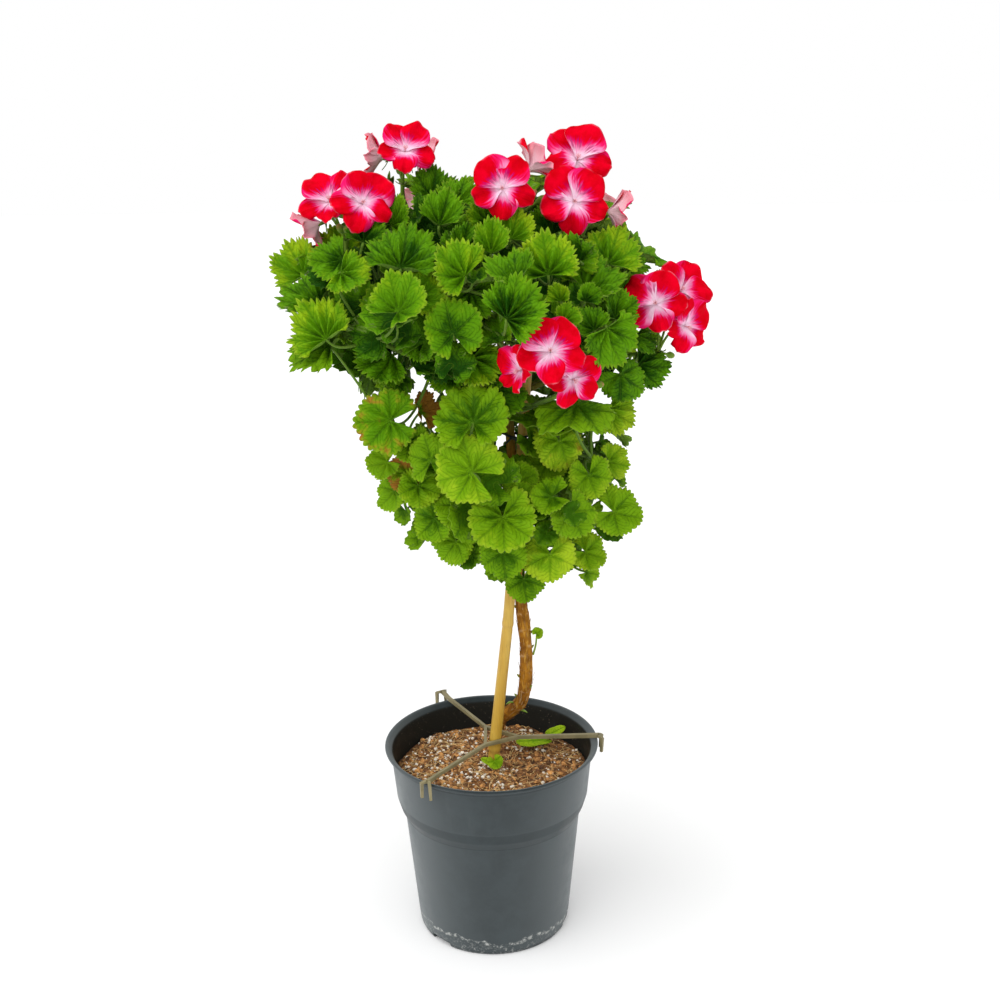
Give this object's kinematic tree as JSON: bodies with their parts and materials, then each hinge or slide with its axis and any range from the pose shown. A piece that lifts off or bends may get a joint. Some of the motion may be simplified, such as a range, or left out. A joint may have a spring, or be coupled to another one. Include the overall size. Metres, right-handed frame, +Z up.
{
  "type": "potted flowering plant",
  "caption": "Standard-grown regal pelargonium in a round container pot: bare woody stem on a cane with rim clip, leafy crown and red, pink and white flower heads",
  "frame": {"origin": "middle of the pot's flat underside, on the surface the pot stands on", "axes": "+Z up along the stem, -Y toward the side the picture shows, +X to that side's right"},
  "size_m": [0.3509, 0.313, 0.7155],
  "materials": {
    "pot": "matte",
    "soil": "rough, loose",
    "pot_clip": "matte",
    "cane": "satin",
    "cane_tie": "matte",
    "woody_stem": "rough bark",
    "sprout": "satin",
    "upper_leaf": "satin, finely hairy",
    "lower_leaf": "satin, finely hairy",
    "flower_stalk": "satin, finely hairy",
    "petal": "velvety"
  },
  "bodies": {
    "root": {"pot": "pot", "soil": "soil", "pot_clip": "pot_clip", "cane": "cane", "cane_tie": "cane_tie", "woody_stem": "woody_stem", "stem_sprout": "sprout", "seedling_left": "sprout", "seedling_right": "sprout", "leafy_shoot_upper_a": "upper_leaf", "leafy_shoot_upper_b": "upper_leaf", "leafy_shoot_upper_c": "upper_leaf", "leafy_shoot_upper_d": "upper_leaf", "leafy_shoot_upper_e": "upper_leaf", "leafy_shoot_upper_f": "upper_leaf", "leafy_shoot_upper_g": "upper_leaf", "leafy_shoot_upper_h": "upper_leaf", "leafy_shoot_upper_i": "upper_leaf", "leafy_shoot_upper_j": "upper_leaf", "leafy_shoot_upper_k": "upper_leaf", "leafy_shoot_upper_l": "upper_leaf", "leafy_shoot_upper_m": "upper_leaf", "leafy_shoot_lower_a": "lower_leaf", "leafy_shoot_lower_b": "lower_leaf", "leafy_shoot_lower_c": "lower_leaf", "leafy_shoot_lower_d": "lower_leaf", "leafy_shoot_lower_e": "lower_leaf", "leafy_shoot_lower_f": "lower_leaf", "leafy_shoot_lower_g": "lower_leaf", "leafy_shoot_lower_h": "lower_leaf", "leafy_shoot_lower_i": "lower_leaf", "flower_head_a_stalks": "flower_stalk", "flower_head_a_bloom_1": "petal", "flower_head_a_bloom_2": "petal", "flower_head_a_bloom_3": "petal", "flower_head_b_stalks": "flower_stalk", "flower_head_b_bloom_1": "petal", "flower_head_b_bloom_2": "petal", "flower_head_b_bloom_3": "petal", "flower_head_c_stalks": "flower_stalk", "flower_head_c_bloom_1": "petal", "flower_head_c_bloom_2": "petal", "flower_head_d_stalks": "flower_stalk", "flower_head_d_bloom_1": "petal", "flower_head_d_bloom_2": "petal", "flower_head_d_bloom_3": "petal", "flower_head_e_stalks": "flower_stalk", "flower_head_e_bloom_1": "petal", "flower_head_e_bloom_2": "petal", "flower_head_e_bloom_3": "petal", "flower_head_f_stalks": "flower_stalk", "flower_head_f_bloom_1": "petal", "flower_head_f_bloom_2": "petal", "flower_head_f_bloom_3": "petal", "flower_head_g_stalks": "flower_stalk", "flower_head_g_bloom_1": "petal", "flower_head_g_bloom_2": "petal", "flower_head_h_stalks": "flower_stalk", "flower_head_h_bloom_1": "petal", "flower_head_h_bloom_2": "petal"}
  },
  "joints": []
}
